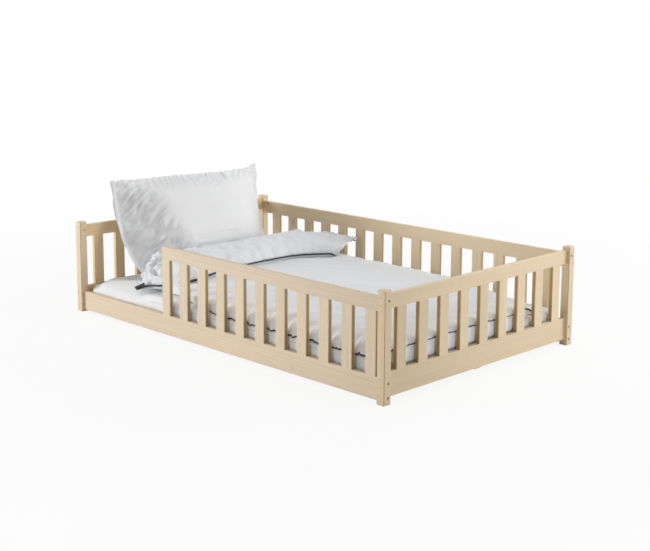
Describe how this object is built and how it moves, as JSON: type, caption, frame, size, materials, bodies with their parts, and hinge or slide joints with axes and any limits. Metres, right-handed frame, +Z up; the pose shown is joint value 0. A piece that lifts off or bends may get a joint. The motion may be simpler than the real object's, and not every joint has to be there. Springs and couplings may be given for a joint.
{
  "type": "kids bed",
  "caption": "Low free-standing pine bed for a child, with slatted guards, an open entry at the front, a slatted base, mattress, turned-back duvet and a pillow leaning on the head rail.",
  "frame": {"origin": "on the floor, under the middle of the frame", "axes": "+X along the length towards the foot, +Y from the entry side to the back guard, +Z up"},
  "size_m": [2.08, 1.28, 0.6524],
  "materials": {
    "pine": "clear satin lacquer over pine",
    "dowel_wood": "end grain, sanded flush",
    "base_wood": "sawn and planed, no lacquer",
    "steel": "dark zinc",
    "tape": "woven tape",
    "ticking": "knitted mattress cover",
    "sheet_cotton": "white jersey cotton",
    "duvet_cotton": "white cotton with black piping",
    "pillow_cotton": "white cotton"
  },
  "bodies": {
    "root": {"back_bottom_rail": "pine", "back_slats": "pine", "back_top_rail": "pine", "barrel_nuts": "steel", "base_slats": "base_wood", "base_tapes": "tape", "beam_feet": "base_wood", "centre_beam": "base_wood", "duvet": "duvet_cotton", "fitted_sheet": "sheet_cotton", "foot_bottom_rail": "pine", "foot_slat_1": "pine", "foot_slat_2": "pine", "foot_slat_3": "pine", "foot_slat_4": "pine", "foot_slat_5": "pine", "foot_slat_6": "pine", "foot_slat_7": "pine", "foot_slat_8": "pine", "foot_slat_9": "pine", "foot_top_rail": "pine", "front_bottom_rail": "pine", "guard_slat_1": "pine", "guard_slat_10": "pine", "guard_slat_11": "pine", "guard_slat_2": "pine", "guard_slat_3": "pine", "guard_slat_4": "pine", "guard_slat_5": "pine", "guard_slat_6": "pine", "guard_slat_7": "pine", "guard_slat_8": "pine", "guard_slat_9": "pine", "guard_top_rail": "pine", "head_bottom_rail": "pine", "head_slat_1": "pine", "head_slat_2": "pine", "head_slat_3": "pine", "head_slat_4": "pine", "head_slat_5": "pine", "head_slat_6": "pine", "head_slat_7": "pine", "head_slat_8": "pine", "head_slat_9": "pine", "head_top_rail": "pine", "ledger_back": "base_wood", "ledger_front": "base_wood", "ledger_screws": "steel", "mattress": "ticking", "pillow": "pillow_cotton", "post_foot_back": "pine", "post_foot_front": "pine", "post_head_back": "pine", "post_head_front": "pine", "rail_bolts": "steel", "rail_dowels": "dowel_wood", "slat_screws": "steel"}
  },
  "joints": []
}
